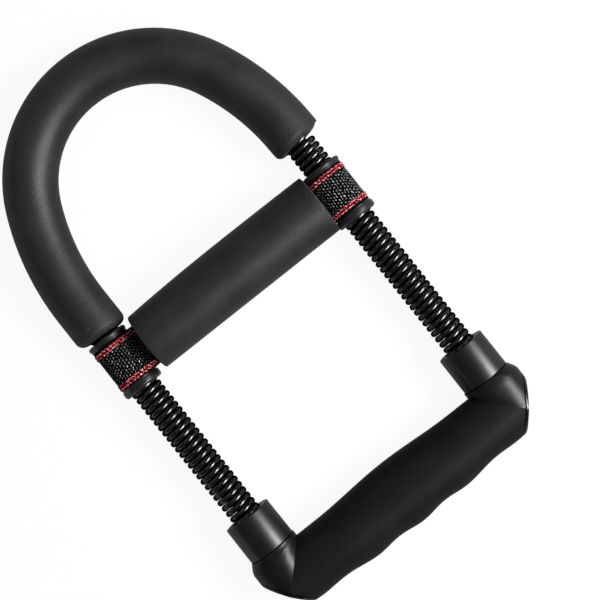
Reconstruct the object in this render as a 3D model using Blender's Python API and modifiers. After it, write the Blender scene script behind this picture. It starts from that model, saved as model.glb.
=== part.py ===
"""Forearm trainer: a padded U-shaped bar, two coil springs on its ends, and a moulded hand grip.

The trainer lies flat, as on a table. X runs across the two arms, +Y points from the grip to the
top of the loop, +Z is up. The origin is under the middle of the whole length and width. Metres.
A padded crossbar hangs on the springs by a strap sewn round two spools, and slides along them.
"""

import math

import bmesh
import bpy
from mathutils import Euler, Vector

# Clearances
SEAT_GAP = 0.0003
SLIDE_GAP = 0.0003

# Bar and loop
ARM_SPACING = 0.1434
BAR_DIAMETER = 0.0087
LOOP_RADIUS = 0.0654
LOOP_TURN = math.radians(65)
ARM_LENGTH = 0.1400
BAR_REACH = 0.0775
BAR_END_CHAMFER = 0.0010

# Foam sleeve on the loop
FOAM_DIAMETER = 0.0292
FOAM_EDGE_ROUND = 0.0040
FOAM_REACH_RIGHT = 0.0051
FOAM_REACH_LEFT = 0.0186
FLOOR_FLAT = 0.0005

# Springs
WIRE_DIAMETER = 0.0030
SPRING_DIAMETER = 0.0162
SPRING_PITCH = 0.0036
POINTS_PER_CURL = 8
LEG_BEND_RADIUS = 0.0040
LEG_STRAIGHT = WIRE_DIAMETER

# Rings that stop the springs on the bar
STOP_LENGTH = 0.0050
STOP_RISE = 0.0045
STOP_DIAMETER = 0.0156
STOP_BORE_GAP = 0.0009
STOP_EDGE = 0.0005
STOP_PIN_DIAMETER = 0.0024

# Spools
SPOOL_DROP = 0.0207
SPOOL_WALL = 0.0010
FLANGE_DIAMETER = 0.0231
FLANGE_THICKNESS = 0.0034
FLANGE_EDGE_ROUND = 0.0007
NECK_LENGTH = 0.0016

# Strap
WEBBING_WIDTH = 0.0246
WEBBING_THICKNESS = 0.0012

# Forearm pad
PAD_DIAMETER = 0.0344
PAD_END_GAP_RIGHT = 0.0008
PAD_END_GAP_LEFT = 0.0034
PAD_EDGE_ROUND = 0.0016
PAD_SHIFT = 0.0010

# Collars
COLLAR_LENGTH = 0.0215
COLLAR_DIAMETER = 0.0267
COLLAR_RIM_DIAMETER = 0.0265
COLLAR_BORE = 0.0192
COLLAR_EDGE_ROUND = 0.0009
COLLAR_FLOOR = 0.0045
SPIGOT_DIAMETER = 0.0180
SPIGOT_LENGTH = 0.0040

# Grip
GRIP_REACH = 0.0386
GRIP_THICKNESS = 0.0290
GRIP_BULGE = 0.0020
BULGE_REACH = 0.0450
GRIP_CROWN = 0.0022
CROWN_REACH = 0.0660
ELBOW_WIDTH = 0.0308
ELBOW_OFFSET = 0.0013
ELBOW_DROP = 0.0029
ELBOW_EDGE = 0.0005
SHOULDER_DROP = 0.0068
SHOULDER_FLARE = 0.0024
INNER_GROOVE_WIDTH = 0.0300
OUTER_GROOVE_WIDTH = 0.0380
GROOVE_DEPTH = 0.0014
CHAMFER_START = 0.0119
CHAMFER_REACH = 0.0203
SECTION_POWER = 2.2

# Fixings inside the grip
CORE_DEPTH = 0.0080
CORE_THICKNESS = 0.0160
CORE_DROP = 0.0163
CORE_OVERHANG = 0.0048
BOLT_DIAMETER = 0.0050
BOLT_HEAD_DIAMETER = 0.0085
BOLT_HEAD_HEIGHT = 0.0050
BOLT_HEAD_EDGE = 0.0008
WASHER_DIAMETER = 0.0090
WASHER_THICKNESS = 0.0010
PLUG_FLANGE = 0.0025
PLUG_LENGTH = 0.0085
BOLT_LENGTH = 0.0400
CAP_THICKNESS = 0.0013
CAP_BOSS_WALL = 0.0012

# How finely round shapes are divided
ROUND_SEGMENTS = 32
SMALL_SEGMENTS = 14
FOAM_SEGMENTS = 24
GRIP_SEGMENTS = 24
BAR_SEGMENTS = 12
BAR_STEPS = {"loop_steps": 12, "flank_steps": 4}

# Sizes that follow from the ones above
HALF_SPACING = ARM_SPACING / 2
BAR_RADIUS = BAR_DIAMETER / 2
FOAM_RADIUS = FOAM_DIAMETER / 2
PAD_RADIUS = PAD_DIAMETER / 2
SPRING_RADIUS = SPRING_DIAMETER / 2
COIL_RADIUS = SPRING_RADIUS - WIRE_DIAMETER / 2
FLANK_RADIUS = (HALF_SPACING - LOOP_RADIUS * math.sin(LOOP_TURN)) / (1 - math.sin(LOOP_TURN))
LOOP_RISE = LOOP_RADIUS * (1 - math.cos(LOOP_TURN)) + FLANK_RADIUS * math.cos(LOOP_TURN)
LENGTH = FOAM_RADIUS + LOOP_RISE + ARM_LENGTH + COLLAR_LENGTH + GRIP_REACH

# Heights of the arms' plane and of the pad's axis: the undersides are worn flat by FLOOR_FLAT
ARM_HEIGHT = FOAM_RADIUS - FLOOR_FLAT
PAD_HEIGHT = PAD_RADIUS - FLOOR_FLAT

# Places along the arms
APEX_Y = LENGTH / 2 - FOAM_RADIUS
LEGS_Y = APEX_Y - LOOP_RISE
RIM_Y = LEGS_Y - ARM_LENGTH
SEAT_Y = RIM_Y - COLLAR_LENGTH
CREST_Y = SEAT_Y - GRIP_REACH
BAR_END_Y = LEGS_Y - BAR_REACH
COLLAR_FLOOR_Y = SEAT_Y + COLLAR_FLOOR

# The springs run from the stop rings to the plugs' flanges
PLUG_FLANGE_Y = COLLAR_FLOOR_Y + SEAT_GAP + PLUG_FLANGE
SPRING_LOW_Y = PLUG_FLANGE_Y + SEAT_GAP
STOP_Y = LEGS_Y + STOP_RISE
SPRING_HIGH_Y = STOP_Y - SEAT_GAP

# Crossbar
SPOOL_BORE_RADIUS = SPRING_RADIUS + SLIDE_GAP
BARREL_RADIUS = SPOOL_BORE_RADIUS + SPOOL_WALL
STRAP_INNER_RADIUS = BARREL_RADIUS + SLIDE_GAP
STRAP_OUTER_RADIUS = STRAP_INNER_RADIUS + WEBBING_THICKNESS
FLANGE_SPACING = WEBBING_WIDTH + 2 * SLIDE_GAP
SPOOL_TOP_Y = LEGS_Y - SPOOL_DROP
CROSSBAR_Y = SPOOL_TOP_Y - FLANGE_THICKNESS - FLANGE_SPACING / 2

# The handle turns about the middle of the free stretch of spring, from the bar's end to the rim
FLEX_Y = (BAR_END_Y + RIM_Y) / 2

# Elbows: inner and outer sides, and the mitre corner where the elbow meets the grip
ELBOW_X = HALF_SPACING + ELBOW_OFFSET
ELBOW_INNER_X = ELBOW_X - ELBOW_WIDTH / 2
ELBOW_OUTER_X = ELBOW_X + ELBOW_WIDTH / 2
ELBOW_SEAT_Y = SEAT_Y - SEAT_GAP
CORNER_Y = ELBOW_SEAT_Y - ELBOW_DROP

# Chamfered ends of the grip
CHAMFER_TOP = Vector((ELBOW_OUTER_X, SEAT_Y - CHAMFER_START, ARM_HEIGHT))
CHAMFER_FOOT = Vector((ELBOW_OUTER_X - CHAMFER_REACH, CREST_Y, ARM_HEIGHT))

# Fixings along each arm's axis, from the core in the grip to the bolt's head on top of the plug
CORE_TOP_Y = SEAT_Y - CORE_DROP
CORE_Y = CORE_TOP_Y - CORE_DEPTH / 2
CORE_HALF_LENGTH = HALF_SPACING + CORE_OVERHANG
BOLT_HOLE_RADIUS = BOLT_DIAMETER / 2 + SEAT_GAP
PLUG_TOP_Y = PLUG_FLANGE_Y + PLUG_LENGTH
WASHER_Y = PLUG_TOP_Y + SEAT_GAP
HEAD_Y = WASHER_Y + WASHER_THICKNESS + SEAT_GAP

SIDES = (("left", -1), ("right", 1))
ALONG_ARM = Euler((-math.pi / 2, 0, 0))
ALONG_BAR = Euler((0, math.pi / 2, 0))


def clear_scene():
    for obj in list(bpy.data.objects):
        bpy.data.objects.remove(obj)


def make_material(name, colour, roughness, metallic=0.0):
    material = bpy.data.materials.new(name)
    material.use_nodes = True
    shader = material.node_tree.nodes["Principled BSDF"]
    shader.inputs["Base Color"].default_value = (*colour, 1)
    shader.inputs["Roughness"].default_value = roughness
    shader.inputs["Metallic"].default_value = metallic
    return material


def make_collection(name, hidden=False):
    collection = bpy.data.collections.new(name)
    collection.hide_render = hidden
    bpy.context.scene.collection.children.link(collection)
    return collection


def add_empty(name, location):
    empty = bpy.data.objects.new(name, None)
    empty.location = location
    empty.empty_display_size = 0.02
    parts.objects.link(empty)
    return empty


def link_piece(obj, material, parent, smooth_angle=35):
    """Puts a finished piece in the parts collection, under its parent empty, at its world place."""
    parts.objects.link(obj)
    obj.data.materials.append(material)
    if obj.type == "MESH":
        obj.data.shade_smooth()
        obj.data.set_sharp_from_angle(angle=math.radians(smooth_angle))
    obj.parent = parent
    obj.location = Vector(obj.location) - parent.location
    return obj


def link_cutter(obj):
    cutters.objects.link(obj)
    obj.hide_render = True
    obj.display_type = "WIRE"
    return obj


def object_from(bm, name):
    mesh = bpy.data.meshes.new(name)
    bm.to_mesh(mesh)
    bm.free()
    return bpy.data.objects.new(name, mesh)


def cylinder(name, radius, start, end, segments=SMALL_SEGMENTS):
    """A solid round bar between two points."""
    start, end = Vector(start), Vector(end)
    bm = bmesh.new()
    bmesh.ops.create_cone(
        bm, cap_ends=True, segments=segments, radius1=radius, radius2=radius, depth=(end - start).length
    )
    obj = object_from(bm, name)
    obj.rotation_euler = (end - start).to_track_quat("Z", "Y").to_euler()
    obj.location = (start + end) / 2
    return obj


def box(name, size, centre):
    bm = bmesh.new()
    bmesh.ops.create_cube(bm, size=1)
    bmesh.ops.scale(bm, vec=size, verts=bm.verts)
    obj = object_from(bm, name)
    obj.location = centre
    return obj


def turned(name, outline, segments=ROUND_SEGMENTS):
    """A closed outline of (radius, height) points turned about the local Z axis.

    The outline starts at the top and runs down its outer side. One that begins and ends on the
    axis makes a solid piece, any other a piece with a bore.
    """
    bm = bmesh.new()
    points = [bm.verts.new((radius, 0, height)) for radius, height in outline]
    for first, second in zip(points, points[1:]):
        bm.edges.new((first, second))
    if outline[0][0] > 0:
        bm.edges.new((points[-1], points[0]))
    obj = object_from(bm, name)
    screw = obj.modifiers.new("Turn", "SCREW")
    screw.axis = "Z"
    screw.steps = segments
    screw.render_steps = segments
    screw.use_merge_vertices = True
    screw.merge_threshold = 0.00001
    return obj


def tube(name, path, radius, bevel_resolution, point_radii=None):
    """A curve object that runs through the points of path, with filled ends."""
    curve = bpy.data.curves.new(name, "CURVE")
    curve.dimensions = "3D"
    curve.bevel_depth = radius
    curve.bevel_resolution = bevel_resolution
    curve.use_fill_caps = True
    spline = curve.splines.new("POLY")
    spline.points.add(len(path) - 1)
    for index, (point, place) in enumerate(zip(spline.points, path)):
        point.co = (*place, 1)
        point.radius = point_radii[index] if point_radii else 1.0
    return bpy.data.objects.new(name, curve)


def solid_of(curve_object):
    """The mesh of a tube, with its caps welded, so that it can be cut."""
    bpy.context.scene.collection.objects.link(curve_object)
    graph = bpy.context.evaluated_depsgraph_get()
    mesh = bpy.data.meshes.new_from_object(curve_object.evaluated_get(graph))
    bm = bmesh.new()
    bm.from_mesh(mesh)
    bmesh.ops.remove_doubles(bm, verts=bm.verts, dist=0.000001)
    bm.to_mesh(mesh)
    bm.free()
    solid = bpy.data.objects.new(curve_object.name, mesh)
    solid.matrix_world = curve_object.matrix_world
    name = curve_object.name
    bpy.data.objects.remove(curve_object)
    solid.name = name
    return solid


def combine(obj, operation, *others):
    for other in others:
        modifier = obj.modifiers.new(operation.title(), "BOOLEAN")
        modifier.operation = operation
        modifier.object = other


def cut(obj, *others):
    combine(obj, "DIFFERENCE", *others)


def slab(name, point, normal, thickness, reach):
    """A wide plate whose near face passes through the point, and which extends along the normal."""
    plate = box(name, (reach, reach, thickness), Vector(point) + normal * thickness / 2)
    plate.rotation_euler = normal.to_track_quat("Z", "Y").to_euler()
    return plate


def loop_path(left_end_y, right_end_y, loop_steps=16, flank_steps=4):
    """Points on the bar's centreline from the left leg's end, over the loop, to the right leg's."""
    half = []
    for step in range(loop_steps // 2 + 1):
        angle = LOOP_TURN * step / (loop_steps // 2)
        half.append((LOOP_RADIUS * math.sin(angle), APEX_Y - LOOP_RADIUS * (1 - math.cos(angle))))
    for step in range(1, flank_steps + 1):
        angle = LOOP_TURN + (math.pi / 2 - LOOP_TURN) * step / flank_steps
        across = HALF_SPACING - FLANK_RADIUS * (1 - math.sin(angle))
        half.append((across, LEGS_Y + FLANK_RADIUS * math.cos(angle)))
    left = [(-across, along) for across, along in reversed(half[1:])]
    ends = [(-HALF_SPACING, left_end_y)], [(HALF_SPACING, right_end_y)]
    return [Vector((x, y, ARM_HEIGHT)) for x, y in ends[0] + left + half + ends[1]]


def rounded_tube_path(left_end_y, right_end_y, radius, round_radius, steps, **loop_steps):
    """The loop's path and its radius factors, where both ends are rounded off by round_radius."""
    path = loop_path(left_end_y + round_radius, right_end_y + round_radius, **loop_steps)
    factors = [1.0] * len(path)
    for step in range(1, steps + 1):
        angle = math.pi / 2 * step / steps
        along = round_radius * math.sin(angle)
        factor = 1 - round_radius * (1 - math.cos(angle)) / radius
        path.insert(0, path[0].copy())
        path[0].y = left_end_y + round_radius - along
        path.append(path[-1].copy())
        path[-1].y = right_end_y + round_radius - along
        factors = [factor] + factors + [factor]
    return path, factors


def make_bar():
    path, factors = rounded_tube_path(
        BAR_END_Y, BAR_END_Y, BAR_RADIUS, BAR_END_CHAMFER, 1, **BAR_STEPS
    )
    bar = solid_of(tube("u_bar", path, BAR_RADIUS, BAR_SEGMENTS // 2 - 2, factors))
    for name, side in SIDES:
        x = side * HALF_SPACING
        hole_radius = STOP_PIN_DIAMETER / 2 + SEAT_GAP
        y = STOP_Y + STOP_LENGTH / 2
        ends = (x, y, ARM_HEIGHT - STOP_DIAMETER), (x, y, ARM_HEIGHT + STOP_DIAMETER)
        cut(bar, link_cutter(cylinder(f"{name}_bar_pin_hole", hole_radius, *ends)))
    return link_piece(bar, black_steel, frame)


def make_foam_sleeve(floor):
    left_y = LEGS_Y - FOAM_REACH_LEFT
    right_y = LEGS_Y - FOAM_REACH_RIGHT
    path, factors = rounded_tube_path(left_y, right_y, FOAM_RADIUS, FOAM_EDGE_ROUND, 3)
    sleeve = solid_of(tube("u_foam_sleeve", path, FOAM_RADIUS, FOAM_SEGMENTS // 2 - 2, factors))
    bore_path = loop_path(BAR_END_Y, BAR_END_Y, **BAR_STEPS)
    bore = tube("foam_bore", bore_path, BAR_RADIUS + SLIDE_GAP, BAR_SEGMENTS // 2 - 2)
    cut(sleeve, link_cutter(solid_of(bore)))
    for name, side in SIDES:
        x = side * HALF_SPACING
        low = (x, BAR_END_Y, ARM_HEIGHT)
        high = (x, STOP_Y + STOP_LENGTH + SEAT_GAP, ARM_HEIGHT)
        pocket = cylinder(f"{name}_foam_pocket", SPRING_RADIUS + SLIDE_GAP, low, high, FOAM_SEGMENTS)
        cut(sleeve, link_cutter(pocket))
    cut(sleeve, floor)
    return link_piece(sleeve, foam, frame, 60)


def leg_points(direction):
    """Where a spring's wire leaves its last curl: (turn angle, height) pairs from the curl outwards.

    The wire bends from the curl's slope to straight along the arm, then runs straight for one
    diameter, so that its end stands square on the face that it meets.
    """
    slope = math.atan2(SPRING_PITCH, 2 * math.pi * COIL_RADIUS)
    points = []
    steps = 4
    for step in range(1, steps + 1):
        bend = slope + (math.pi / 2 - slope) * step / steps
        around = LEG_BEND_RADIUS * (math.sin(bend) - math.sin(slope))
        up = LEG_BEND_RADIUS * (math.cos(slope) - math.cos(bend))
        points.append((direction * around / COIL_RADIUS, direction * up))
    turn, height = points[-1]
    points.append((turn, height + direction * LEG_STRAIGHT))
    return points


def spring_path():
    """Points of one spring about the local Z axis, from its lower leg to its upper leg."""
    lower, upper = leg_points(-1), leg_points(1)
    leg_height = upper[-1][1]
    coil_height = SPRING_HIGH_Y - SPRING_LOW_Y - 2 * leg_height
    turns = coil_height / SPRING_PITCH
    count = round(turns * POINTS_PER_CURL)
    path = [(turn, leg_height + height) for turn, height in reversed(lower)]
    for index in range(count + 1):
        share = index / count
        path.append((2 * math.pi * turns * share, leg_height + coil_height * share))
    last_turn, last_height = path[-1]
    path += [(last_turn + turn, last_height + height) for turn, height in upper]
    return [Vector((COIL_RADIUS * math.cos(a), COIL_RADIUS * math.sin(a), z)) for a, z in path]


def least_self_gap(path):
    """The least clear distance between a spring's wire and itself, measured between its points."""
    half_curl = POINTS_PER_CURL // 2
    least = min(
        (path[later] - path[first]).length
        for first in range(len(path))
        for later in range(first + half_curl, min(first + 3 * half_curl, len(path)))
    )
    return least - WIRE_DIAMETER


def make_springs():
    path = spring_path()
    for name, side in SIDES:
        spring = tube(f"{name}_spring", path, WIRE_DIAMETER / 2, 1)
        spring.rotation_euler = ALONG_ARM
        spring.location = (side * HALF_SPACING, SPRING_LOW_Y, ARM_HEIGHT)
        link_piece(spring, spring_steel, frame)
    print(f"spring: least gap to itself {least_self_gap(path) * 1000:.2f} mm")


def make_stops():
    """The ring above each spring, and the pin that holds it across the bar.

    The bar begins to curve inside the ring, whose bore leaves room for that.
    """
    bore = BAR_RADIUS + STOP_BORE_GAP
    outer = STOP_DIAMETER / 2
    edge = STOP_EDGE
    outline = [(bore, STOP_LENGTH), (outer - edge, STOP_LENGTH), (outer, STOP_LENGTH - edge)]
    outline += [(outer, edge), (outer - edge, 0), (bore, 0)]
    for name, side in SIDES:
        x = side * HALF_SPACING
        ring = turned(f"{name}_spring_stop", outline, SMALL_SEGMENTS)
        ring.rotation_euler = ALONG_ARM
        ring.location = (x, STOP_Y, ARM_HEIGHT)
        y = STOP_Y + STOP_LENGTH / 2
        reach = outer * 2
        hole_radius = STOP_PIN_DIAMETER / 2 + SEAT_GAP
        low, high = Vector((x, y, ARM_HEIGHT - reach)), Vector((x, y, ARM_HEIGHT + reach))
        cut(ring, link_cutter(cylinder(f"{name}_stop_pin_hole", hole_radius, low, high)))
        link_piece(ring, bright_steel, frame)
        low.z, high.z = ARM_HEIGHT - outer + edge, ARM_HEIGHT + outer - edge
        pin = cylinder(f"{name}_stop_pin", STOP_PIN_DIAMETER / 2, low, high)
        link_piece(pin, bright_steel, frame)


def make_spools():
    """Two flanged bushes that slide on the springs and turn inside the strap's loops."""
    bore = SPOOL_BORE_RADIUS
    flange = FLANGE_DIAMETER / 2
    edge = FLANGE_EDGE_ROUND
    top = FLANGE_SPACING / 2 + FLANGE_THICKNESS
    inner = FLANGE_SPACING / 2
    neck = -top - NECK_LENGTH
    outline = [(bore, top), (flange - edge, top), (flange, top - edge), (flange, inner)]
    outline += [(BARREL_RADIUS, inner), (BARREL_RADIUS, -inner), (flange, -inner)]
    outline += [(flange, -top + edge), (flange - edge, -top), (BARREL_RADIUS, -top)]
    outline += [(BARREL_RADIUS, neck), (bore, neck)]
    for name, side in SIDES:
        spool = turned(f"{name}_spool", outline)
        spool.rotation_euler = ALONG_ARM
        spool.location = (side * HALF_SPACING, CROSSBAR_Y, ARM_HEIGHT)
        link_piece(spool, gloss_plastic, crossbar)


def make_strap():
    """One length of webbing through the pad, doubled and sewn into a loop round each spool."""
    web_length = 2 * (HALF_SPACING - STRAP_INNER_RADIUS - WEBBING_THICKNESS / 2)
    web_size = (web_length, WEBBING_WIDTH, 2 * WEBBING_THICKNESS)
    strap = box("forearm_strap", web_size, (0, CROSSBAR_Y, ARM_HEIGHT))
    half_width = Vector((0, WEBBING_WIDTH / 2, 0))
    for name, side in SIDES:
        middle = Vector((side * HALF_SPACING, CROSSBAR_Y, ARM_HEIGHT))
        ends = middle - half_width, middle + half_width
        loop = cylinder(f"{name}_strap_loop", STRAP_OUTER_RADIUS, *ends, ROUND_SEGMENTS)
        combine(strap, "UNION", link_cutter(loop))
        beyond = middle - 2 * half_width, middle + 2 * half_width
        hole = cylinder(f"{name}_strap_hole", STRAP_INNER_RADIUS, *beyond, ROUND_SEGMENTS)
        cut(strap, link_cutter(hole))
    return link_piece(strap, webbing, crossbar)


def make_pad(floor):
    """The foam roll on the strap. Its slit holds the doubled webbing."""
    flange_edge = HALF_SPACING - FLANGE_DIAMETER / 2
    right = flange_edge - PAD_END_GAP_RIGHT
    left = -flange_edge + PAD_END_GAP_LEFT
    round_radius = PAD_EDGE_ROUND
    outline = [(0, right)]
    steps = 3
    for step in range(steps + 1):
        angle = math.pi / 2 * step / steps
        radius = PAD_RADIUS - round_radius * (1 - math.sin(angle))
        outline.append((radius, right - round_radius * (1 - math.cos(angle))))
    for step in range(steps + 1):
        angle = math.pi / 2 * step / steps
        radius = PAD_RADIUS - round_radius * (1 - math.cos(angle))
        outline.append((radius, left + round_radius * (1 - math.sin(angle))))
    outline.append((0, left))
    pad = turned("forearm_pad", outline)
    pad.rotation_euler = ALONG_BAR
    pad.location = (0, CROSSBAR_Y + PAD_SHIFT, PAD_HEIGHT)
    slit_size = (ARM_SPACING, WEBBING_WIDTH + 2 * SLIDE_GAP, 2 * WEBBING_THICKNESS + 2 * SLIDE_GAP)
    slit = link_cutter(box("pad_slit", slit_size, (0, CROSSBAR_Y, ARM_HEIGHT)))
    cut(pad, slit, floor)
    return link_piece(pad, foam, crossbar, 60)


def make_collars():
    bore = COLLAR_BORE / 2
    outer = COLLAR_DIAMETER / 2
    rim = COLLAR_RIM_DIAMETER / 2
    edge = COLLAR_EDGE_ROUND
    edge_middle = edge * (1 - math.sqrt(0.5))
    spigot = SPIGOT_DIAMETER / 2
    top = COLLAR_LENGTH
    outline = [(bore, top), (rim - edge, top), (rim - edge_middle, top - edge_middle)]
    outline += [(rim, top - edge), (outer, 0), (spigot, 0), (spigot, -SPIGOT_LENGTH)]
    outline += [(BOLT_HOLE_RADIUS, -SPIGOT_LENGTH), (BOLT_HOLE_RADIUS, COLLAR_FLOOR)]
    outline += [(bore, COLLAR_FLOOR)]
    for name, side in SIDES:
        collar = turned(f"{name}_collar", outline)
        collar.rotation_euler = ALONG_ARM
        collar.location = (side * HALF_SPACING, SEAT_Y, ARM_HEIGHT)
        link_piece(collar, gloss_plastic, handle)


def groove_depth(x):
    """How far the finger grooves take the grip's outer edge in, at a distance x from the middle."""
    x = abs(x)
    if x < INNER_GROOVE_WIDTH:
        share = x / INNER_GROOVE_WIDTH
    else:
        share = min(1, (x - INNER_GROOVE_WIDTH) / OUTER_GROOVE_WIDTH)
    return GROOVE_DEPTH * (1 - math.cos(2 * math.pi * share)) / 2


def inner_edge_y(x):
    """The grip's inner edge, which swells towards the palm in the middle."""
    share = min(1, abs(x) / BULGE_REACH)
    return CORNER_Y + GRIP_BULGE * (1 + math.cos(math.pi * share)) / 2


def grip_ring(inner, outer, groove=0.0, swell=0.0):
    """One section of the grip, as points round a blunt oval from its inner to its outer edge."""
    ring = []
    middle, half = (inner + outer) / 2, (inner - outer) / 2
    half = half * (1 + swell / half.length)
    for step in range(GRIP_SEGMENTS):
        angle = 2 * math.pi * step / GRIP_SEGMENTS
        across = math.copysign(abs(math.cos(angle)) ** (2 / SECTION_POWER), math.cos(angle))
        height = math.copysign(abs(math.sin(angle)) ** (2 / SECTION_POWER), math.sin(angle))
        point = middle + half * across
        point = Vector((point.x, point.y + groove * max(0, -across) ** 2, ARM_HEIGHT))
        point.z += height * (GRIP_THICKNESS / 2 + swell)
        ring.append(point)
    return ring


def grip_sections():
    """(inner edge, outer edge, groove, swell) of every section, from the middle to the right seat."""
    straight = INNER_GROOVE_WIDTH
    edges = [(straight * step / 6, straight * step / 6) for step in range(7)]
    for step in range(1, 7):
        outer_x = straight + OUTER_GROOVE_WIDTH * step / 6
        share = (outer_x - straight) / (ELBOW_OUTER_X - straight)
        edges.append((straight + (ELBOW_INNER_X - straight) * share, outer_x))
    edges.append((ELBOW_INNER_X, ELBOW_OUTER_X))
    rings = []
    for inner_x, outer_x in edges:
        inner = Vector((inner_x, inner_edge_y(inner_x), ARM_HEIGHT))
        outer_y = CREST_Y + GRIP_CROWN * (outer_x / CROWN_REACH) ** 2
        outer = Vector((outer_x, outer_y, ARM_HEIGHT))
        rings.append((inner, outer, groove_depth(outer_x), 0.0))
    flared_x = ELBOW_OUTER_X - SHOULDER_FLARE
    elbow = (
        (ELBOW_DROP * 0.9, SHOULDER_DROP, ELBOW_OUTER_X, 0),
        (ELBOW_DROP * 0.7, SHOULDER_DROP / 2, ELBOW_OUTER_X - SHOULDER_FLARE / 2, 0),
        (ELBOW_EDGE, ELBOW_EDGE, flared_x, 0),
        (0, 0, flared_x, -ELBOW_EDGE),
    )
    for inner_drop, outer_drop, outer_x, swell in elbow:
        inner = Vector((ELBOW_INNER_X, ELBOW_SEAT_Y - inner_drop, ARM_HEIGHT))
        outer = Vector((outer_x, ELBOW_SEAT_Y - outer_drop, ARM_HEIGHT))
        rings.append((inner, outer, 0.0, swell))
    return rings


def grip_blank(name):
    """The grip before its ends are cut off: a loft from one elbow's seat to the other's."""
    right = grip_sections()
    left = []
    for inner, outer, groove, swell in reversed(right[1:]):
        flip = Vector((-1, 1, 1))
        left.append((inner * flip, outer * flip, groove, swell))
    bm = bmesh.new()
    rings = []
    for inner, outer, groove, swell in left + right:
        rings.append([bm.verts.new(point) for point in grip_ring(inner, outer, groove, swell)])
    edges = []
    for ring in rings:
        edges.append([bm.edges.new((ring[i - 1], ring[i])) for i in range(GRIP_SEGMENTS)])
    for first, second in zip(edges, edges[1:]):
        bmesh.ops.bridge_loops(bm, edges=first + second)
    bmesh.ops.contextual_create(bm, geom=edges[0])
    bmesh.ops.contextual_create(bm, geom=edges[-1])
    bmesh.ops.recalc_face_normals(bm, faces=bm.faces)
    return object_from(bm, name)


def chamfer_normal(side):
    along = CHAMFER_FOOT - CHAMFER_TOP
    return Vector((-along.y * side, along.x, 0)).normalized()


def on_side(point, side):
    return Vector((point.x * side, point.y, point.z))


def core_cavity(name, slack):
    """A long box round the core's channel, which runs through the grip from end to end."""
    size = (LENGTH, CORE_DEPTH + 2 * slack, CORE_THICKNESS + 2 * slack)
    return box(name, size, (0, CORE_Y, ARM_HEIGHT))


def make_grip(floor):
    """The moulded grip: mitred elbows, finger grooves, and chamfered ends that the caps close."""
    grip = grip_blank("grip")
    cut(grip, floor, link_cutter(core_cavity("core_channel", SEAT_GAP)))
    for name, side in SIDES:
        x = side * HALF_SPACING
        normal = chamfer_normal(side)
        face = on_side(CHAMFER_TOP, side) - normal * (CAP_THICKNESS + SEAT_GAP)
        cut(grip, link_cutter(slab(f"{name}_grip_trim", face, normal, GRIP_REACH, LENGTH)))
        above = (x, RIM_Y, ARM_HEIGHT)
        socket_foot = (x, SEAT_Y - SPIGOT_LENGTH - SEAT_GAP, ARM_HEIGHT)
        socket_radius = SPIGOT_DIAMETER / 2 + SEAT_GAP
        socket = cylinder(f"{name}_socket", socket_radius, above, socket_foot, FOAM_SEGMENTS)
        hole_foot = (x, CORE_Y, ARM_HEIGHT)
        bolt_hole = cylinder(f"{name}_grip_hole", BOLT_HOLE_RADIUS, above, hole_foot)
        cut(grip, link_cutter(socket), link_cutter(bolt_hole))
    return link_piece(grip, matt_plastic, handle)


def make_core():
    """The flat steel bar that slides into the grip from one end, with a cross hole for each bolt."""
    size = (2 * CORE_HALF_LENGTH, CORE_DEPTH, CORE_THICKNESS)
    core = box("handle_core", size, (0, CORE_Y, ARM_HEIGHT))
    for name, side in SIDES:
        x = side * HALF_SPACING
        ends = (x, CORE_Y - CORE_DEPTH, ARM_HEIGHT), (x, CORE_Y + CORE_DEPTH, ARM_HEIGHT)
        cut(core, link_cutter(cylinder(f"{name}_core_hole", BOLT_HOLE_RADIUS, *ends)))
    return link_piece(core, bright_steel, handle)


def make_fixings():
    """In each collar: the plug inside the spring, and the long bolt that draws it to the core."""
    plug_radius = BAR_RADIUS
    flange_radius = COLLAR_BORE / 2 - SLIDE_GAP
    hole = BOLT_HOLE_RADIUS
    edge = BAR_END_CHAMFER
    top = PLUG_FLANGE + PLUG_LENGTH
    plug_outline = [(hole, top), (plug_radius - edge, top), (plug_radius, top - edge)]
    plug_outline += [(plug_radius, PLUG_FLANGE), (flange_radius, PLUG_FLANGE)]
    plug_outline += [(flange_radius, 0), (hole, 0)]
    shank = BOLT_DIAMETER / 2
    head = BOLT_HEAD_DIAMETER / 2
    height = BOLT_HEAD_HEIGHT
    bolt_outline = [(0, height), (head - BOLT_HEAD_EDGE, height), (head, height - BOLT_HEAD_EDGE)]
    bolt_outline += [(head, 0), (shank, 0), (shank, -BOLT_LENGTH), (0, -BOLT_LENGTH)]
    washer = WASHER_DIAMETER / 2
    washer_outline = [(hole, WASHER_THICKNESS), (washer, WASHER_THICKNESS), (washer, 0), (hole, 0)]
    for name, side in SIDES:
        pieces = (
            (f"{name}_spring_plug", plug_outline, PLUG_FLANGE_Y - PLUG_FLANGE),
            (f"{name}_plug_bolt", bolt_outline, HEAD_Y),
            (f"{name}_bolt_washer", washer_outline, WASHER_Y),
        )
        for piece_name, outline, y in pieces:
            piece = turned(piece_name, outline, SMALL_SEGMENTS)
            piece.rotation_euler = ALONG_ARM
            piece.location = (side * HALF_SPACING, y, ARM_HEIGHT)
            link_piece(piece, bright_steel, handle)


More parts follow.
